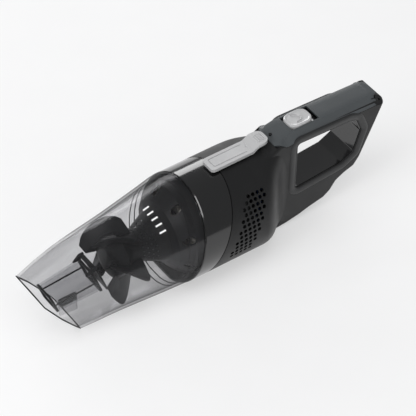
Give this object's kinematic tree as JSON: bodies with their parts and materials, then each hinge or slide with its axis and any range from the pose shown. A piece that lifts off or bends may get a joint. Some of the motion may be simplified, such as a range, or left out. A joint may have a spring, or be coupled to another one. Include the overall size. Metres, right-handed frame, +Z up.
{
  "type": "handheld vacuum",
  "caption": "Cordless handheld vacuum: round barrel with a clear tapered dust cup and slanted nozzle, cyclone filter inside, D-shaped grip, latch lever and slide switch.",
  "frame": {"origin": "bottom centre of the whole vacuum's box, on the surface that it rests on", "axes": "+X from the nozzle to the handle, +Z up"},
  "size_m": [0.3583, 0.096, 0.1066],
  "materials": {
    "clear_cup": "clear smoky, polished",
    "black_gloss": "glossy black",
    "black_matte": "fine matte",
    "panel_grey": "satin bluish grey",
    "silver": "satin silver",
    "dark_inner": "satin, dark",
    "rubber": "soft matte",
    "paper": "pleated filter paper",
    "steel": "machined",
    "magnet": "sintered",
    "cell": "shrink wrapped",
    "board": "solder masked",
    "lens": "smoked lens"
  },
  "bodies": {
    "body": {"body_shell_right": "black_matte", "body_shell_left": "black_matte", "handle_panel": "panel_grey", "grip_liner": "black_gloss", "motor_cover": "black_matte", "motor_cover_seal": "rubber", "fan_shroud": "dark_inner", "motor_can": "steel", "motor_end_cap": "dark_inner", "motor_bearings": "steel", "motor_magnets": "magnet", "motor_mount": "rubber", "battery_cells": "cell", "battery_tray": "dark_inner", "battery_links": "steel", "circuit_board": "board", "indicator_lens": "lens", "slide_switch": "dark_inner", "charge_jack": "black_gloss", "case_screws": "steel", "latch_bracket": "dark_inner", "latch_pin": "steel", "latch_spring": "steel"},
    "dust_cup": {"dust_cup_shell": "clear_cup", "cup_collar": "black_gloss", "inlet_duct": "clear_cup", "inlet_flap_pin": "steel"},
    "inlet_flap": {"inlet_flap": "rubber"},
    "separator": {"separator_cone": "dark_inner", "filter_cage": "dark_inner", "swirl_blades": "dark_inner", "pleated_filter": "paper", "filter_frame": "dark_inner", "filter_seal": "rubber"},
    "rotor": {"motor_shaft": "steel", "fan_impeller": "black_matte", "motor_armature": "steel"},
    "latch": {"latch_lever": "silver"},
    "power_slider": {"power_slider": "silver"}
  },
  "joints": [
    {"name": "cup_release", "type": "slide", "parent": "body", "child": "dust_cup", "axis": [-1, 0, 0], "range_m": [0, 0.3]},
    {"name": "separator_pull", "type": "slide", "parent": "dust_cup", "child": "separator", "axis": [1, 0, 0], "range_m": [0, 0.141]},
    {"name": "flap_swing", "type": "hinge", "parent": "dust_cup", "child": "inlet_flap", "pos_m": [-0.12173, 0, 0.0534], "axis": [0, -1, 0], "range_deg": [0, 15]},
    {"name": "latch_press", "type": "hinge", "parent": "body", "child": "latch", "pos_m": [0.02887, 0, 0.0886], "axis": [0, 1, 0], "range_deg": [0, 5], "stiffness_Nm_per_rad": 1, "springref_deg": -2.86, "deforming": ["latch_spring"]},
    {"name": "power_slide", "type": "slide", "parent": "body", "child": "power_slider", "axis": [1, 0, 0], "range_m": [0, 0.004]},
    {"name": "motor_spin", "type": "hinge", "parent": "body", "child": "rotor", "pos_m": [-0.00113, 0, 0.046], "axis": [1, 0, 0], "continuous": true}
  ],
  "couplings": [
    {"joint": "separator_pull", "follows": "cup_release", "ratio": 0.47}
  ]
}
